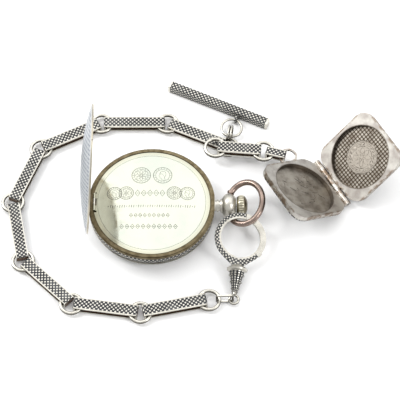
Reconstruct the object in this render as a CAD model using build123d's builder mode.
"""A silver open-face pocket watch lying on its crystal, with its albert chain, clasp, T-bar and locket.

Millimetres, +Z up. The origin is the middle of the crystal's flat top, on the surface that the watch
lies on. +X runs to the crown and +Y away from the clasp.
"""

from build123d import *
from math import atan2, cos, degrees, hypot, radians, sin, sqrt
import os

os.makedirs("parts", exist_ok=True)

# Case
CASE_RADIUS = 25.0
CASE_RIM_TOP = 9.3  # where the closed back cover rests
CASE_BOTTOM = 4.2
COVER_DEPTH = 4.0
COVER_WALL = 0.6
HINGE_X = -25.2
HINGE_Z = 9.9
HINGE_PIN_RADIUS = 0.35
KNUCKLE_RADIUS = 0.85
COVER_OPEN_ANGLE = 85.0
INNER_COVER_RADIUS = 23.0
INNER_HINGE_X = -22.6
INNER_HINGE_Z = 9.55
# Pendant, crown and bow
STEM_Z = 6.5
PENDANT_END = 33.2
CROWN_RADIUS = 4.2
BOW_PIVOT_X = 31.2
BOW_TILT = 22.0
BOW_WIRE = 1.2
BOW_HALF_WIDTH = 9.3
# Movement
PLATE_RADIUS = 20.8
PLATE_LOW, PLATE_HIGH = 4.3, 5.4
BRIDGE_LOW, BRIDGE_HIGH = 7.1, 8.0
DIAL_LOW, DIAL_HIGH = 2.7, 3.1
RUNNING_GAP = 0.05
# Chain
LINK_WIDTH = 4.8
LINK_HEIGHT = 3.2
STRIP = 0.7
LINK_PITCH = 27.0
RING_INNER, RING_OUTER = 3.4, 4.75
RING_LOW, RING_HIGH = 0.9, 2.3
END_GAP = 1.0  # from a ring's middle to the outside of a link's end wall
LAST_END_GAP = 1.85  # the same where the last link has the junction ring to itself
CHAIN_START = (22.5, -39.2)
CHAIN_HEADINGS = (-168.5, 172.0, 136.3, 101.3, 68.0, 26.6, 0.1, -24.6)
UPPER_LAYER = 3.35  # how far the two fob links lie above the rest of the chain
# Locket
LOCKET_HINGE = (72.1, 13.2, 1.9)
LOCKET_HEADING = -59.0
LOCKET_SIDE = 28.4
LOCKET_DEPTH = 3.2
LOCKET_BACK_TILT = 31.0
LOCKET_FRONT_TILT = 39.0
BAIL = (54.4, 23.6)


def finish(builder, name):
    """Labels a finished piece and writes it."""
    builder.part.label = name
    export_step(builder.part, f"parts/{name}.step")


def heading_plane(x, y, heading, z=0.0):
    """A plane through a point, with its x along a heading and its y straight up."""
    way = Vector(cos(radians(heading)), sin(radians(heading)), 0)
    return Plane(origin=(x, y, z), x_dir=way, z_dir=way.cross(Vector(0, 0, 1)))


def dome_point(top, edge_radius, edge_height, radius):
    """A point at a radius on the round dome from a top on the axis down to an edge."""
    drop = top - edge_height
    ball = (edge_radius ** 2 + drop ** 2) / (2 * drop)
    return (radius, top - ball + sqrt(ball ** 2 - radius ** 2))


def lathe_plane(origin, outward, radial):
    """A plane for a turned profile, with its x along the radius and its y along the turning axis."""
    return Plane(origin=origin, x_dir=radial, z_dir=Vector(*radial).cross(Vector(*outward)))


# ---------------------------------------------------------------- case, covers and glass

# Case middle: a rounded band with a stepped rim, a ledge for the inner cover and a seat for the plate.
with BuildPart() as case_middle:
    with BuildSketch(Plane.XZ):
        with BuildLine():
            Polyline((21.0, CASE_BOTTOM), (24.2, CASE_BOTTOM))
            ThreePointArc((24.2, CASE_BOTTOM), (24.9, 6.0), (24.6, 8.0))
            Polyline((24.6, 8.0), (CASE_RADIUS, 8.1), (CASE_RADIUS, 8.7), (24.55, 8.8),
                     (24.55, CASE_RIM_TOP), (23.3, CASE_RIM_TOP), (23.3, 8.7), (21.9, 8.5),
                     (21.9, 5.6), (21.0, 5.5), (21.0, CASE_BOTTOM))
        make_face()
    revolve(axis=Axis.Z)
    # the pendant: a grooved neck and a round head, soldered to the band
    with BuildSketch(Plane.XZ):
        with BuildLine():
            Polyline((23.9, STEM_Z), (23.9, STEM_Z + 2.1), (25.6, STEM_Z + 2.1), (25.6, STEM_Z + 2.5),
                     (26.3, STEM_Z + 2.5), (26.3, STEM_Z + 2.1), (27.0, STEM_Z + 2.1),
                     (27.0, STEM_Z + 2.6), (27.8, STEM_Z + 2.9))
            ThreePointArc((27.8, STEM_Z + 2.9), (30.2, STEM_Z + 4.9), (32.7, STEM_Z + 3.7))
            Polyline((32.7, STEM_Z + 3.7), (PENDANT_END, STEM_Z + 3.2), (PENDANT_END, STEM_Z),
                     (23.9, STEM_Z))
        make_face()
    revolve(axis=Axis((0, 0, STEM_Z), (1, 0, 0)))
    # the way for the stem, and the room inside for the sliding pinion
    with BuildSketch(Plane.YZ.offset(20.0)):
        with Locations((0, STEM_Z)):
            Circle(0.85)
    extrude(amount=15.0, mode=Mode.SUBTRACT)
    # the bow's two pivot holes
    with BuildSketch(Plane.XZ.offset(-8.0)):
        with Locations((BOW_PIVOT_X, STEM_Z)):
            Circle(0.95)
    extrude(amount=4.4, mode=Mode.SUBTRACT)
    with BuildSketch(Plane.XZ.offset(8.0)):
        with Locations((BOW_PIVOT_X, STEM_Z)):
            Circle(0.95)
    extrude(amount=-4.4, mode=Mode.SUBTRACT)
    # a step in the rim for the cover hinges
    with BuildSketch(Plane.XY.offset(8.8)):
        with Locations((-24.6, 0)):
            Rectangle(4.4, 20.6)
    extrude(amount=1.0, mode=Mode.SUBTRACT)
    # the middle knuckle of the back cover's hinge stands on the band
    with BuildSketch(Plane.XZ.offset(-4.0)):
        with Locations((HINGE_X, HINGE_Z)):
            Circle(KNUCKLE_RADIUS)
        with Locations((HINGE_X + 0.55, HINGE_Z - 0.95)):
            Rectangle(1.1, 1.6)
    extrude(amount=8.0)
    with BuildSketch(Plane.XZ.offset(-4.0)):
        with Locations((HINGE_X, HINGE_Z)):
            Circle(HINGE_PIN_RADIUS)
    extrude(amount=8.0, mode=Mode.SUBTRACT)
finish(case_middle, "case_middle")

# Back cover: a thin domed dish, standing open on its hinge.
cover_hinge = Vector(HINGE_X, 0, HINGE_Z)
open_turn = radians(COVER_OPEN_ANGLE)
cover_radial = (cos(open_turn), 0, sin(open_turn))
cover_outward = (-sin(open_turn), 0, cos(open_turn))
COVER_RISE = 0.35  # the cover's rim starts this far below the hinge's height
cover_centre = (cover_hinge + Vector(*cover_radial) * -HINGE_X) - Vector(*cover_outward) * COVER_RISE
cover_plane = lathe_plane(cover_centre, cover_outward, cover_radial)
with BuildPart() as back_cover:
    with BuildSketch(cover_plane):
        with BuildLine():
            Polyline((0, COVER_DEPTH), (0, COVER_DEPTH - COVER_WALL))
            ThreePointArc((0, COVER_DEPTH - COVER_WALL),
                          dome_point(COVER_DEPTH - COVER_WALL, 22.6, 0.95, 12.0), (22.6, 0.95))
            Polyline((22.6, 0.95), (23.9, 0.0), (CASE_RADIUS - 0.1, 0.0), (CASE_RADIUS - 0.1, 0.7))
            ThreePointArc((CASE_RADIUS - 0.1, 0.7),
                          dome_point(COVER_DEPTH, CASE_RADIUS - 0.1, 0.7, 13.0), (0, COVER_DEPTH))
        make_face()
    revolve(axis=Axis(cover_centre, cover_outward))
    # room for the knuckles
    hinge_plane = Plane(origin=cover_hinge, x_dir=cover_radial, z_dir=(0, 1, 0))
    with BuildSketch(hinge_plane.offset(-10.2)):
        Rectangle(3.4, 3.0)
    extrude(amount=20.4, mode=Mode.SUBTRACT)
    for low, high in ((-9.8, -4.1), (4.1, 9.8)):
        with BuildSketch(hinge_plane.offset(low)):
            Circle(KNUCKLE_RADIUS)
            with Locations((1.3, -0.45)):
                Rectangle(2.0, 0.7)
            Circle(HINGE_PIN_RADIUS + 0.03, mode=Mode.SUBTRACT)
        extrude(amount=high - low)
    # the lip that a thumbnail lifts
    with BuildSketch(Plane(origin=cover_centre, x_dir=cover_radial, z_dir=cover_outward)):
        with Locations((CASE_RADIUS - 0.2, 0)):
            Rectangle(1.0, 5.0)
    extrude(amount=0.4)
finish(back_cover, "back_cover")

# Inner cover: a shallow polished dome over the movement.
with BuildPart() as inner_cover:
    with BuildSketch(Plane.XZ):
        with BuildLine():
            Polyline((0, 10.25), (0, 9.85))
            ThreePointArc((0, 9.85), dome_point(9.85, 21.6, 9.05, 11.0), (21.6, 9.05))
            Polyline((21.6, 9.05), (INNER_COVER_RADIUS, 8.85), (INNER_COVER_RADIUS, 9.15))
            ThreePointArc((INNER_COVER_RADIUS, 9.15),
                          dome_point(10.25, INNER_COVER_RADIUS, 9.15, 12.0), (0, 10.25))
        make_face()
    revolve(axis=Axis.Z)
    with BuildSketch(Plane.XY.offset(8.0)):
        with Locations((-23.0, 0)):
            Rectangle(2.6, 9.0)
    extrude(amount=4.0, mode=Mode.SUBTRACT)
    for low, high in ((-3.9, -1.6), (1.6, 3.9)):
        with BuildSketch(Plane.XZ.offset(-high)):
            with Locations((INNER_HINGE_X, INNER_HINGE_Z)):
                Circle(0.5)
            with Locations((INNER_HINGE_X + 0.65, INNER_HINGE_Z - 0.25)):
                Rectangle(1.3, 0.36)
            with Locations((INNER_HINGE_X, INNER_HINGE_Z)):
                Circle(0.25, mode=Mode.SUBTRACT)
        extrude(amount=high - low)
finish(inner_cover, "inner_cover")

# The two hinge pins, and the inner hinge's fixed knuckle on its foot.
with BuildPart() as cover_hinge_pins:
    with BuildSketch(Plane.XZ.offset(-9.9)):
        with Locations((HINGE_X, HINGE_Z)):
            Circle(HINGE_PIN_RADIUS)
    extrude(amount=19.8)
    with BuildSketch(Plane.XZ.offset(-3.9)):
        with Locations((INNER_HINGE_X, INNER_HINGE_Z)):
            Circle(0.22)
    extrude(amount=7.8)
    with BuildSketch(Plane.XZ.offset(-1.5)):
        with Locations((INNER_HINGE_X, INNER_HINGE_Z)):
            Circle(0.5)
        with Locations((INNER_HINGE_X, INNER_HINGE_Z - 0.45)):
            Rectangle(0.9, 0.6)
    extrude(amount=3.0)
finish(cover_hinge_pins, "cover_hinge_pins")

# Front bezel: the domed ring that holds the glass, snapped under the band.
with BuildPart() as front_bezel:
    with BuildSketch(Plane.XZ):
        with BuildLine():
            Polyline((20.4, 1.7), (21.2, 1.3))
            ThreePointArc((21.2, 1.3), (23.8, 2.2), (24.8, CASE_BOTTOM - 0.02))
            Polyline((24.8, CASE_BOTTOM - 0.02), (21.0, CASE_BOTTOM - 0.02), (21.0, 2.4),
                     (20.4, 2.3), (20.4, 1.7))
        make_face()
    revolve(axis=Axis.Z)
finish(front_bezel, "front_bezel")

# Crystal: thick glass with a flat top, on which the watch lies.
with BuildPart() as crystal:
    with BuildSketch(Plane.XZ):
        with BuildLine():
            Polyline((0, 0), (15.5, 0))
            ThreePointArc((15.5, 0), (18.4, 0.5), (20.35, 1.75))
            Polyline((20.35, 1.75), (20.35, 2.3), (19.3, 2.3), (15.0, 0.9), (0, 0.9), (0, 0))
        make_face()
    revolve(axis=Axis.Z)
finish(crystal, "crystal")

# ---------------------------------------------------------------- crown, stem and bow

# Crown: an onion-shaped knob with ribs, hollow towards the pendant.
with BuildPart() as crown:
    with BuildSketch(Plane.XZ):
        with BuildLine():
            Polyline((33.5, STEM_Z), (33.5, STEM_Z + 3.3))
            ThreePointArc((33.5, STEM_Z + 3.3), (35.2, STEM_Z + CROWN_RADIUS), (36.9, STEM_Z + 3.5))
            ThreePointArc((36.9, STEM_Z + 3.5), (37.55, STEM_Z + 2.3), (37.8, STEM_Z + 0.8))
            Polyline((37.8, STEM_Z + 0.8), (37.8, STEM_Z), (33.5, STEM_Z))
        make_face()
    revolve(axis=Axis((0, 0, STEM_Z), (1, 0, 0)))
    with BuildSketch(Plane.YZ.offset(33.0)):
        with Locations((0, STEM_Z)):
            with PolarLocations(CROWN_RADIUS + 0.05, 24):
                Circle(0.36)
    extrude(amount=3.9, mode=Mode.SUBTRACT)
    with BuildSketch(Plane.YZ.offset(33.4)):
        with Locations((0, STEM_Z)):
            Circle(0.6)
    extrude(amount=2.6, mode=Mode.SUBTRACT)
finish(crown, "crown")

# Winding stem: the rod that joins the crown to the sliding pinion.
with BuildPart() as winding_stem:
    with BuildSketch(Plane.YZ.offset(18.6)):
        with Locations((0, STEM_Z)):
            Circle(0.58)
    extrude(amount=17.2)
finish(winding_stem, "winding_stem")

# Sliding pinion: turns with the stem and winds the crown wheel.
with BuildPart() as sliding_pinion:
    with BuildSketch(Plane.YZ.offset(18.0)):
        with Locations((0, STEM_Z)):
            Circle(0.98)
            Circle(0.62, mode=Mode.SUBTRACT)
            with PolarLocations(1.0, 10):
                Circle(0.14, mode=Mode.SUBTRACT)
    extrude(amount=2.4)
finish(sliding_pinion, "sliding_pinion")

# Bow: an oval of round wire that pivots in the pendant's sides.
bow_way = (cos(radians(BOW_TILT)), 0, sin(radians(BOW_TILT)))
bow_plane = Plane(origin=(BOW_PIVOT_X, 0, STEM_Z), x_dir=bow_way,
                  z_dir=Vector(*bow_way).cross(Vector(0, 1, 0)))
BOW_MIDDLE = 5.9
BOW_LENGTH = 7.4
bow_end_angle = degrees(atan2(6.35 / BOW_HALF_WIDTH, -BOW_MIDDLE / BOW_LENGTH))
with BuildPart() as bow:
    with BuildLine(bow_plane) as bow_path:
        EllipticalCenterArc((BOW_MIDDLE, 0), BOW_LENGTH, BOW_HALF_WIDTH,
                            start_angle=-bow_end_angle, arc_size=2 * bow_end_angle)
    with BuildSketch(Plane(origin=bow_path.line @ 0, z_dir=bow_path.line % 0)):
        Circle(BOW_WIRE)
    sweep(path=bow_path.line)
    for side in (-1, 1):
        with BuildSketch(Plane(origin=(BOW_PIVOT_X, side * 4.1, STEM_Z), z_dir=(0, side, 0))):
            Circle(0.88)
        extrude(amount=2.2)
        with BuildSketch(Plane(origin=(BOW_PIVOT_X, side * 5.25, STEM_Z), z_dir=(0, side, 0))):
            Circle(1.35)
        extrude(amount=1.3)
finish(bow, "bow")

# ---------------------------------------------------------------- movement

BARREL = (10.2, 9.2)
CENTRE = (0.0, 0.0)
THIRD = (-6.6, 6.4)
FOURTH = (-10.4, 0.0)
ESCAPE = (-9.6, -6.6)
PALLET = (-6.4, -9.2)
BALANCE = (0.4, -12.4)
BARREL_RADIUS = 6.9


def arbor_wheel(name, place, radius, low, thick, arbor, arbor_low, arbor_high, spokes):
    """A spoked wheel on its arbor, with a solid pinion."""
    with BuildPart() as wheel:
        with BuildSketch(Plane.XY.offset(low)):
            with Locations(place):
                Circle(radius)
                if spokes:
                    Circle(radius - 0.9, mode=Mode.SUBTRACT)
                    Circle(1.0)
                    with PolarLocations(radius / 2 + 0.1, spokes):
                        Rectangle(radius - 0.6, 0.7)
        extrude(amount=thick)
        with BuildSketch(Plane.XY.offset(arbor_low)):
            with Locations(place):
                Circle(arbor)
        extrude(amount=arbor_high - arbor_low)
    finish(wheel, name)


# Main plate: recessed for the balance, drilled for the arbors.
with BuildPart() as main_plate:
    with BuildSketch(Plane.XY.offset(PLATE_LOW)):
        Circle(PLATE_RADIUS)
        with Locations(THIRD, FOURTH, ESCAPE, PALLET, BALANCE, BARREL):
            Circle(0.35, mode=Mode.SUBTRACT)
        Circle(0.75, mode=Mode.SUBTRACT)
    extrude(amount=PLATE_HIGH - PLATE_LOW)
    with BuildSketch(Plane.YZ.offset(17.0)):
        with Locations((0, STEM_Z)):
            Circle(1.2)
    extrude(amount=6.0, mode=Mode.SUBTRACT)
finish(main_plate, "main_plate")


def foot(place):
    """The outline of a bridge's pillar, standing on the plate."""
    with BuildSketch(Plane.XY.offset(PLATE_HIGH)) as pillar:
        with Locations(place):
            Circle(1.3)
    return pillar.sketch


# Barrel bridge: covers the barrel and carries the winding wheels.
with BuildPart() as barrel_bridge:
    with BuildSketch(Plane.XY.offset(BRIDGE_LOW)):
        with BuildLine():
            arc = CenterArc((0, 0), 20.4, -12.0, 112.0)
            Polyline(arc @ 1, (-3.2, 4.6), (3.6, -3.6), arc @ 0)
        make_face()
        with Locations(BARREL):
            Circle(0.62, mode=Mode.SUBTRACT)
        Circle(0.75, mode=Mode.SUBTRACT)
    extrude(amount=BRIDGE_HIGH - BRIDGE_LOW)
    extrude(foot((18.4, -1.8)), amount=BRIDGE_LOW - PLATE_HIGH)
    extrude(foot((0.0, 18.8)), amount=BRIDGE_LOW - PLATE_HIGH)
    # the stem's notch
    with BuildSketch(Plane.YZ.offset(17.0)):
        with Locations((0, STEM_Z)):
            Circle(1.2)
    extrude(amount=6.0, mode=Mode.SUBTRACT)
finish(barrel_bridge, "barrel_bridge")

# Train bridge: holds the third, fourth and escape arbors.
with BuildPart() as train_bridge:
    with BuildSketch(Plane.XY.offset(BRIDGE_LOW)):
        with BuildLine():
            arc = CenterArc((0, 0), 20.4, 104.0, 104.0)
            Polyline(arc @ 1, (-8.2, -8.0), (-4.6, -2.2), (-4.0, 5.4), arc @ 0)
        make_face()
        with Locations(THIRD, FOURTH, ESCAPE):
            Circle(0.35, mode=Mode.SUBTRACT)
    extrude(amount=BRIDGE_HIGH - BRIDGE_LOW)
    extrude(foot((-9.5, 16.0)), amount=BRIDGE_LOW - PLATE_HIGH)
    extrude(foot((-18.2, -5.2)), amount=BRIDGE_LOW - PLATE_HIGH)
finish(train_bridge, "train_bridge")

# Balance cock: a single arm over the balance.
with BuildPart() as balance_cock:
    with BuildSketch(Plane.XY.offset(BRIDGE_LOW + 0.1)):
        with Locations((0.4, -15.2)):
            Rectangle(5.0, 9.2)
        with Locations(BALANCE):
            Circle(3.0)
        with Locations(BALANCE):
            Circle(0.3, mode=Mode.SUBTRACT)
    extrude(amount=BRIDGE_HIGH - BRIDGE_LOW)
    with BuildSketch(Plane.XY.offset(PLATE_HIGH)):
        with Locations((0.4, -19.3)):
            Rectangle(4.0, 1.4)
    extrude(amount=BRIDGE_LOW + 0.1 - PLATE_HIGH)
finish(balance_cock, "balance_cock")

# Movement screws: one slotted screw in each bridge foot.
with BuildPart() as movement_screws:
    for place in ((17.6, 8.6), (0.4, 17.6), (-9.5, 16.0), (-18.2, -5.2), (1.6, -18.6)):
        with BuildSketch(Plane.XY.offset(BRIDGE_HIGH + 0.11)):
            with Locations(place):
                Circle(0.85)
        extrude(amount=0.35)
    for place in ((17.6, 8.6), (0.4, 17.6), (-9.5, 16.0), (-18.2, -5.2), (1.6, -18.6)):
        with BuildSketch(Plane.XY.offset(BRIDGE_HIGH + 0.26)):
            with Locations(place):
                Rectangle(1.8, 0.22, rotation=35)
        extrude(amount=0.3, mode=Mode.SUBTRACT)
finish(movement_screws, "movement_screws")

# Barrel: the drum that holds the mainspring and drives the train.
with BuildPart() as barrel:
    with BuildSketch(Plane.XY.offset(5.5)):
        with Locations(BARREL):
            Circle(BARREL_RADIUS)
            Circle(0.65, mode=Mode.SUBTRACT)
    extrude(amount=1.5)
    with BuildSketch(Plane.XY.offset(5.8)):
        with Locations(BARREL):
            Circle(BARREL_RADIUS - 0.7)
            Circle(0.65, mode=Mode.SUBTRACT)
    extrude(amount=0.95, mode=Mode.SUBTRACT)
finish(barrel, "barrel")

# Mainspring: the coiled band inside the barrel, drawn as its wound pack.
with BuildPart() as mainspring:
    with BuildSketch(Plane.XY.offset(5.9)):
        with Locations(BARREL):
            Circle(BARREL_RADIUS - 0.9)
            Circle(3.4, mode=Mode.SUBTRACT)
    extrude(amount=0.75)
finish(mainspring, "mainspring")

# Ratchet wheel, in one with the barrel arbor that it winds.
with BuildPart() as ratchet_wheel:
    with BuildSketch(Plane.XY.offset(BRIDGE_HIGH + 0.08)):
        with Locations(BARREL):
            Circle(4.6)
            with PolarLocations(4.75, 36):
                Circle(0.24, mode=Mode.SUBTRACT)
    extrude(amount=0.4)
    with BuildSketch(Plane.XY.offset(5.5)):
        with Locations(BARREL):
            Circle(0.55)
    extrude(amount=BRIDGE_HIGH + 0.1 - 5.5)
finish(ratchet_wheel, "ratchet_wheel")

# Crown wheel: passes the stem's turn to the ratchet wheel.
CROWN_WHEEL = (15.1, 1.9)
with BuildPart() as crown_wheel:
    with BuildSketch(Plane.XY.offset(BRIDGE_HIGH + 0.08)):
        with Locations(CROWN_WHEEL):
            Circle(3.7)
            with PolarLocations(3.85, 28):
                Circle(0.24, mode=Mode.SUBTRACT)
    extrude(amount=0.4)
finish(crown_wheel, "crown_wheel")

arbor_wheel("center_wheel", CENTRE, 6.0, 6.2, 0.25, 0.7, 1.5, 7.9, 5)
arbor_wheel("third_wheel", THIRD, 4.6, 5.55, 0.25, 0.3, PLATE_LOW + 0.1, 7.9, 4)
arbor_wheel("fourth_wheel", FOURTH, 4.3, 6.55, 0.25, 0.3, 1.7, 7.9, 4)
arbor_wheel("minute_wheel", (4.4, 4.2), 2.6, 3.35, 0.3, 0.5, 3.2, 4.2, 0)

# Escape wheel: fifteen pointed teeth.
with BuildPart() as escape_wheel:
    with BuildSketch(Plane.XY.offset(6.0)):
        with Locations(ESCAPE):
            Circle(2.3)
            with PolarLocations(2.5, 15):
                Circle(0.34, mode=Mode.SUBTRACT)
    extrude(amount=0.2)
    with BuildSketch(Plane.XY.offset(PLATE_LOW + 0.1)):
        with Locations(ESCAPE):
            Circle(0.28)
    extrude(amount=7.9 - PLATE_LOW - 0.1)
finish(escape_wheel, "escape_wheel")

# Pallet fork: the lever between the escape wheel and the balance.
pallet_way = degrees(atan2(BALANCE[1] - PALLET[1], BALANCE[0] - PALLET[0]))
with BuildPart() as pallet_fork:
    pallet_line = (cos(radians(pallet_way)), sin(radians(pallet_way)), 0)
    with BuildSketch(Plane(origin=(*PALLET, 6.0), x_dir=pallet_line)):
        with Locations((1.5, 0)):
            Rectangle(3.2, 0.5)
        Rectangle(0.6, 3.0)
        Circle(0.6)
    extrude(amount=0.25)
    with BuildSketch(Plane.XY.offset(PLATE_LOW + 0.1)):
        with Locations(PALLET):
            Circle(0.25)
    extrude(amount=2.4)
finish(pallet_fork, "pallet_fork")

# Balance wheel: a rimmed wheel on its staff.
arbor_wheel("balance_wheel", BALANCE, 5.4, 6.4, 0.3, 0.24, PLATE_LOW + 0.1, 8.0, 2)

# Hairspring: a flat spiral above the balance, drawn as a thin ring.
with BuildPart() as hairspring:
    with BuildSketch(Plane.XY.offset(6.8)):
        with Locations(BALANCE):
            Circle(2.4)
            Circle(0.9, mode=Mode.SUBTRACT)
    extrude(amount=0.15)
finish(hairspring, "hairspring")

# Hour wheel: turns on the centre arbor and carries the hour hand.
with BuildPart() as hour_wheel:
    with BuildSketch(Plane.XY.offset(3.75)):
        Circle(3.4)
        Circle(0.8, mode=Mode.SUBTRACT)
    extrude(amount=0.3)
    with BuildSketch(Plane.XY.offset(2.1)):
        Circle(1.1)
        Circle(0.8, mode=Mode.SUBTRACT)
    extrude(amount=1.8)
finish(hour_wheel, "hour_wheel")

# Dial: white enamel with a sunk small-seconds disc.
with BuildPart() as dial:
    with BuildSketch(Plane.XY.offset(DIAL_LOW)):
        Circle(20.2)
        Circle(1.25, mode=Mode.SUBTRACT)
        with Locations(FOURTH):
            Circle(0.5, mode=Mode.SUBTRACT)
    extrude(amount=DIAL_HIGH - DIAL_LOW)
    with BuildSketch(Plane.XY.offset(DIAL_LOW)):
        with Locations(FOURTH):
            Circle(5.2)
            Circle(0.5, mode=Mode.SUBTRACT)
    extrude(amount=0.12, mode=Mode.SUBTRACT)
finish(dial, "dial")


def hand(name, place, low, thick, length, width, hole, boss, heading):
    """A tapered hand with a round boss, pointing along a heading."""
    way = (cos(radians(heading)), sin(radians(heading)), 0)
    with BuildPart() as pointer:
        with BuildSketch(Plane(origin=(*place, low), x_dir=way)):
            with BuildLine():
                Polyline((0, width / 2), (length * 0.72, width * 0.62), (length, 0),
                         (length * 0.72, -width * 0.62), (0, -width / 2), (0, width / 2))
            make_face()
            Circle(boss)
            if hole:
                Circle(hole, mode=Mode.SUBTRACT)
        extrude(amount=thick)
    finish(pointer, name)


hand("hour_hand", CENTRE, 2.15, 0.2, 10.5, 1.3, 1.12, 1.7, 125.0)
hand("minute_hand", CENTRE, 1.6, 0.2, 16.0, 0.9, 0.72, 1.4, -60.0)
hand("seconds_hand", FOURTH, 2.3, 0.15, 4.2, 0.3, 0.31, 0.6, 70.0)

# ---------------------------------------------------------------- clasp

CLASP_TIP = (32.4, -36.3, 2.3)
CLASP_HEADING = 83.6
CLASP_RISE = 11.6
CLASP_ROLL = 13.0
clasp_way = Vector(cos(radians(CLASP_HEADING)) * cos(radians(CLASP_RISE)),
                   sin(radians(CLASP_HEADING)) * cos(radians(CLASP_RISE)), sin(radians(CLASP_RISE)))
clasp_side = Vector(sin(radians(CLASP_HEADING)), -cos(radians(CLASP_HEADING)), 0)
clasp_up = clasp_side.cross(clasp_way)
clasp_normal = clasp_up * cos(radians(CLASP_ROLL)) + clasp_side * sin(radians(CLASP_ROLL))
clasp_plane = Plane(origin=CLASP_TIP, x_dir=clasp_way, z_dir=clasp_normal)
clasp_turn = Plane(origin=CLASP_TIP, x_dir=clasp_way, z_dir=clasp_plane.y_dir)
CONE_LENGTH = 10.2
LOOP_MIDDLE = CONE_LENGTH + 12.0
LOOP_RADIUS = 10.2
LOOP_STRIP = 2.3
LOOP_THICK = 1.3
GATE_PIVOT = (LOOP_MIDDLE - 5.3, -7.9)
GATE_END = (LOOP_MIDDLE + 9.6, -1.4)


def loop_outline(shrink):
    """The clasp's teardrop, smaller by a margin, in the current sketch."""
    with BuildSketch(mode=Mode.PRIVATE) as drop:
        with Locations((LOOP_MIDDLE, 0)):
            Circle(LOOP_RADIUS - shrink)
        with Locations((CONE_LENGTH + 2.4 + shrink, 0)):
            Circle(2.6 - shrink * 0.7)
        make_hull()
    return drop.sketch


def gate_area(margin):
    """The stretch of the loop that the gate fills, grown by a margin."""
    with BuildSketch(mode=Mode.PRIVATE) as area:
        with BuildLine():
            Polyline((GATE_PIVOT[0], GATE_PIVOT[1] + 2.6), (GATE_END[0] - 3.4, GATE_END[1]),
                     (GATE_END[0] + 4.0, GATE_END[1]), (GATE_END[0] + 4.0, -14.0),
                     (GATE_PIVOT[0], -14.0), (GATE_PIVOT[0], GATE_PIVOT[1] + 2.6))
        make_face()
        if margin:
            offset(amount=margin)
    return area.sketch


loop_sketch = loop_outline(0.0) - loop_outline(LOOP_STRIP)
pivot_round = Pos(*GATE_PIVOT) * Circle(1.15)
pivot_room = Pos(*GATE_PIVOT) * Circle(1.3)

# Clasp body: a ribbed cone, a collar and the fixed part of the loop.
with BuildPart() as clasp_body:
    with BuildSketch(clasp_turn):
        with BuildLine():
            Polyline((0.0, 0), (0.0, 1.25), (1.0, 1.3), (1.4, 1.75), (1.9, 1.45), (3.6, 1.9),
                     (4.0, 2.4), (4.5, 2.1), (6.4, 2.55), (6.8, 3.05), (7.3, 2.75), (8.4, 3.0),
                     (8.8, 3.9), (9.4, 4.1), (CONE_LENGTH, 3.2), (CONE_LENGTH + 0.8, 1.9),
                     (CONE_LENGTH + 0.8, 0), (0.0, 0))
        make_face()
    revolve(axis=Axis(CLASP_TIP, clasp_way))
    with BuildSketch(clasp_plane.offset(-LOOP_THICK / 2)):
        add(loop_sketch - gate_area(0.15) - pivot_room)
    extrude(amount=LOOP_THICK)
finish(clasp_body, "clasp_body")

# Clasp gate: the sprung stretch that swings inwards.
with BuildPart() as clasp_gate:
    with BuildSketch(clasp_plane.offset(-LOOP_THICK / 2)):
        add(loop_sketch & gate_area(0.0))
        add(pivot_round)
    extrude(amount=LOOP_THICK)
finish(clasp_gate, "clasp_gate")

# Clasp swivel: a pin in the cone's small end with an eye outside.
EYE_RADIUS = 1.75
EYE_WIRE = 0.5
eye_middle = Vector(*CLASP_TIP) - clasp_way * (EYE_RADIUS + EYE_WIRE + 0.5)
with BuildPart() as clasp_swivel:
    with BuildSketch(Plane(origin=Vector(*CLASP_TIP) - clasp_way * 0.12, z_dir=clasp_way * -1)):
        Circle(0.9)
    extrude(amount=0.65)
    with BuildSketch(Plane(origin=eye_middle + clasp_side * EYE_RADIUS, z_dir=clasp_way)):
        Circle(EYE_WIRE)
    revolve(axis=Axis(eye_middle, clasp_up))
finish(clasp_swivel, "clasp_swivel")

# ---------------------------------------------------------------- chain

ring_places = [CHAIN_START]
for turn in CHAIN_HEADINGS:
    last_x, last_y = ring_places[-1]
    ring_places.append((last_x + LINK_PITCH * cos(radians(turn)), last_y + LINK_PITCH * sin(radians(turn))))


def link(name, place, heading, pitch, lift, width, end_gap=END_GAP):
    """A closed box link of flat strip, between two ring middles a pitch apart."""
    reach = pitch - END_GAP - end_gap
    middle = END_GAP + reach / 2
    with BuildPart() as loop:
        with BuildSketch(heading_plane(*place, heading).offset(-width / 2)):
            with Locations((middle, lift + LINK_HEIGHT / 2)):
                RectangleRounded(reach, LINK_HEIGHT, 0.55)
                Rectangle(reach - 2 * STRIP - 0.2, LINK_HEIGHT - 2 * STRIP, mode=Mode.SUBTRACT)
        extrude(amount=width)
    finish(loop, name)


def hoop(place, low, high, inner, outer):
    """A level ring of rounded wire, between two heights and two radii."""
    with BuildPart(mode=Mode.PRIVATE) as wire_ring:
        section_middle = (place[0] + (inner + outer) / 2, place[1], (low + high) / 2)
        with BuildSketch(Plane(origin=section_middle, x_dir=(1, 0, 0), z_dir=(0, -1, 0))):
            RectangleRounded(outer - inner, high - low, 0.42 * min(outer - inner, high - low))
        revolve(axis=Axis((place[0], place[1], 0), (0, 0, 1)))
    return wire_ring.part


def ring(name, place, low, high):
    """A jump ring as a piece of its own."""
    with BuildPart() as jump_ring:
        add(hoop(place, low, high, RING_INNER, RING_OUTER))
    finish(jump_ring, name)


for number, turn in enumerate(CHAIN_HEADINGS, start=1):
    free_end = LAST_END_GAP if number == len(CHAIN_HEADINGS) else END_GAP
    link(f"link_0{number}", ring_places[number - 1], turn, LINK_PITCH, 0.0, LINK_WIDTH, free_end)
for number in range(2, 9):
    ring(f"ring_0{number}", ring_places[number - 1], RING_LOW, RING_HIGH)

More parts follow.
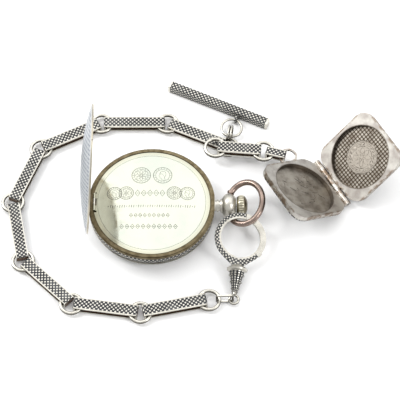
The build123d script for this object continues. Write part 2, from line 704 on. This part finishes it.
# Swivel rings: an oval ring through the swivel's eye, and the first link's ring through the oval.
OVAL_WIRE = 0.7
OVAL_HEIGHT = 5.4
OVAL_MIDDLE_Z = 2.75
eye = (eye_middle.X, eye_middle.Y)
first = ring_places[0]
with BuildPart() as swivel_rings:
    add(hoop(first, RING_LOW, RING_HIGH, RING_INNER, RING_OUTER))
    reach = Vector(eye[0] - first[0], eye[1] - first[1], 0)
    slant = reach.normalized()
    near = RING_INNER - OVAL_WIRE - 0.1
    far = reach.length - 0.1
    middle = Vector(*first, OVAL_MIDDLE_Z) + slant * ((near + far) / 2)
    oval_plane = Plane(origin=middle, x_dir=slant, z_dir=slant.cross(Vector(0, 0, 1)))
    with BuildSketch(oval_plane.offset(-OVAL_WIRE / 2)):
        RectangleRounded(far - near, OVAL_HEIGHT, 1.2)
        RectangleRounded(far - near - 2 * OVAL_WIRE, OVAL_HEIGHT - 2 * OVAL_WIRE, 0.5, mode=Mode.SUBTRACT)
    extrude(amount=OVAL_WIRE)
finish(swivel_rings, "swivel_rings")

# Junction rings: one ring in the last link, and one in the fob link above it.
junction = ring_places[8]
FOB_LINK_HEADING = -5.0
fob_start = (junction[0] - 5.1, junction[1] - 2.3)
with BuildPart() as junction_rings:
    add(hoop(junction, 1.2, 2.1, 3.6, 4.6))
    add(hoop(fob_start, UPPER_LAYER + RING_LOW, UPPER_LAYER + RING_HIGH, RING_INNER, RING_OUTER))
finish(junction_rings, "junction_rings")

# Fob links: the ninth link, its ring, and the short tenth link down to the locket's bail.
FOB_PITCH = 19.5
fob_end = (fob_start[0] + FOB_PITCH * cos(radians(FOB_LINK_HEADING)),
           fob_start[1] + FOB_PITCH * sin(radians(FOB_LINK_HEADING)))
link("link_09", fob_start, FOB_LINK_HEADING, FOB_PITCH, UPPER_LAYER, LINK_WIDTH)
ring("ring_09", fob_end, UPPER_LAYER + RING_LOW, UPPER_LAYER + RING_HIGH)
bail_pitch = hypot(BAIL[0] - fob_end[0], BAIL[1] - fob_end[1])
bail_heading = degrees(atan2(BAIL[1] - fob_end[1], BAIL[0] - fob_end[0]))
link("link_10", fob_end, bail_heading, bail_pitch, UPPER_LAYER, 3.6)

# T-bar: a square bar with an eye on its side, and the rings that hold it.
BAR_END_A = (6.6, 59.7)
BAR_END_B = (46.8, 41.1)
BAR_WIDTH = 3.6
bar_heading = degrees(atan2(BAR_END_B[1] - BAR_END_A[1], BAR_END_B[0] - BAR_END_A[0]))
bar_length = hypot(BAR_END_B[0] - BAR_END_A[0], BAR_END_B[1] - BAR_END_A[1])
bar_side = Vector(sin(radians(bar_heading)), -cos(radians(bar_heading)), 0)
bar_way = Vector(cos(radians(bar_heading)), sin(radians(bar_heading)), 0)
BRANCH_HEADING = 80.0
T_INNER = 3.0
T_WIRE = 0.45
T_LEVEL_INNER, T_LEVEL_OUTER = 3.7, 4.6
branch = Vector(cos(radians(BRANCH_HEADING)), sin(radians(BRANCH_HEADING)), 0)
pair_place = Vector(*junction, 0) + branch * 4.65
level_place = Vector(*junction, 0) + branch * 9.3
along_bar = (level_place - Vector(*BAR_END_A, 0)).dot(bar_way)
BAR_Z = 1.9
EYE_WALL = 0.5
EYE_HEIGHT = 3.0
ring_gap = (level_place - Vector(*BAR_END_A, 0)).dot(bar_side) - T_LEVEL_INNER
eye_length = ring_gap + 0.1 + EYE_WALL - BAR_WIDTH / 2 + 0.3  # sunk into the bar by 0.3
eye_start = Vector(*BAR_END_A, EYE_HEIGHT / 2 + 0.15) + bar_way * along_bar
eye_start += bar_side * (BAR_WIDTH / 2 - 0.3)
with BuildPart() as t_bar:
    with BuildSketch(Plane(origin=(*BAR_END_A, BAR_Z), x_dir=bar_side, z_dir=bar_way)):
        RectangleRounded(BAR_WIDTH, BAR_WIDTH, 0.35)
    extrude(amount=bar_length)
    with BuildSketch(Plane(origin=eye_start - bar_way * 0.4, x_dir=bar_side, z_dir=bar_way)):
        with Locations((eye_length / 2, 0)):
            RectangleRounded(eye_length, EYE_HEIGHT, 0.6)
        with Locations(((eye_length - EYE_WALL) / 2 + 0.1, 0)):
            Rectangle(eye_length - EYE_WALL - 0.2, EYE_HEIGHT - 2 * EYE_WALL, mode=Mode.SUBTRACT)
    extrude(amount=0.8)
finish(t_bar, "t_bar")

# T-bar rings: a pair of upright rings round the junction ring, and a level ring up to the bar's eye.
pair_z = 0.05 + 2 * T_WIRE + T_INNER
with BuildPart() as t_bar_rings:
    for shift in (-0.55, 0.55):
        across = branch.cross(Vector(0, 0, 1))
        middle = Vector(pair_place.X, pair_place.Y, pair_z) + across * shift
        with BuildSketch(Plane(origin=middle + Vector(0, 0, 1) * (T_INNER + T_WIRE), z_dir=branch)):
            Circle(T_WIRE)
        revolve(axis=Axis(middle, across))
    add(hoop((level_place.X, level_place.Y), 1.2, 2.1, T_LEVEL_INNER, T_LEVEL_OUTER))
finish(t_bar_rings, "t_bar_rings")

# ---------------------------------------------------------------- locket

locket_way = Vector(cos(radians(LOCKET_HEADING)), sin(radians(LOCKET_HEADING)), 0)
locket_across = Vector(-locket_way.Y, locket_way.X, 0)
HINGE_RADIUS = 1.15
HALF_START = 1.5
KNUCKLES = ((-11.5, -4.0), (-3.9, 3.9), (4.0, 11.5))


def locket_half(side, tilt):
    """One half as a plane: x away from the hinge, y along it, z out of the outer face."""
    away = locket_across * (side * cos(radians(tilt))) + Vector(0, 0, sin(radians(tilt)))
    outer = locket_across * (side * sin(radians(tilt))) - Vector(0, 0, cos(radians(tilt)))
    return Plane(origin=LOCKET_HINGE, x_dir=away, z_dir=outer)


half_middle = HALF_START + LOCKET_SIDE / 2
for name, side, tilt in (("locket_back", -1, LOCKET_BACK_TILT), ("locket_front", 1, LOCKET_FRONT_TILT)):
    plane = locket_half(side, tilt)
    with BuildPart() as half:
        with BuildSketch(plane.offset(0.12)):
            with Locations((half_middle, 0)):
                RectangleRounded(LOCKET_SIDE, LOCKET_SIDE, 5.6)
        extrude(amount=LOCKET_DEPTH)
        outer_rim = half.faces().sort_by(Axis((0, 0, 0), plane.z_dir))[-1].edges()
        fillet(outer_rim, radius=1.6)
        with BuildSketch(plane.offset(0.12)):
            with Locations((half_middle, 0)):
                Circle(12.7)
        extrude(amount=1.7, mode=Mode.SUBTRACT)
        own = KNUCKLES[1:2] if side > 0 else KNUCKLES[::2]
        for low, high in own:
            hinge_line = Plane(origin=Vector(*LOCKET_HINGE) + locket_way * low, x_dir=plane.x_dir,
                               z_dir=locket_way)
            with BuildSketch(hinge_line):
                Circle(HINGE_RADIUS)
                turn_sign = 1 if hinge_line.y_dir.dot(plane.z_dir) > 0 else -1
                with Locations((1.2, turn_sign * 0.65)):
                    Rectangle(1.6, 0.9)
                Circle(0.45, mode=Mode.SUBTRACT)
            extrude(amount=high - low)
        if side < 0:
            # the bail: a level ring on a short post at the top edge
            with BuildSketch(Plane.XY.offset(UPPER_LAYER + 1.1)):
                with Locations(BAIL):
                    Circle(3.7)
                    Circle(2.9, mode=Mode.SUBTRACT)
            extrude(amount=1.0)
            with BuildSketch(Plane.XY.offset(UPPER_LAYER + 1.1)):
                with Locations((BAIL[0] + locket_way.X * 3.9, BAIL[1] + locket_way.Y * 3.9)):
                    Rectangle(1.6, 2.2, rotation=LOCKET_HEADING)
            extrude(amount=2.6)
    finish(half, name)

with BuildPart() as locket_hinge_pin:
    with BuildSketch(Plane(origin=Vector(*LOCKET_HINGE) + locket_way * -11.5, z_dir=locket_way)):
        Circle(0.42)
    extrude(amount=23.0)
finish(locket_hinge_pin, "locket_hinge_pin")
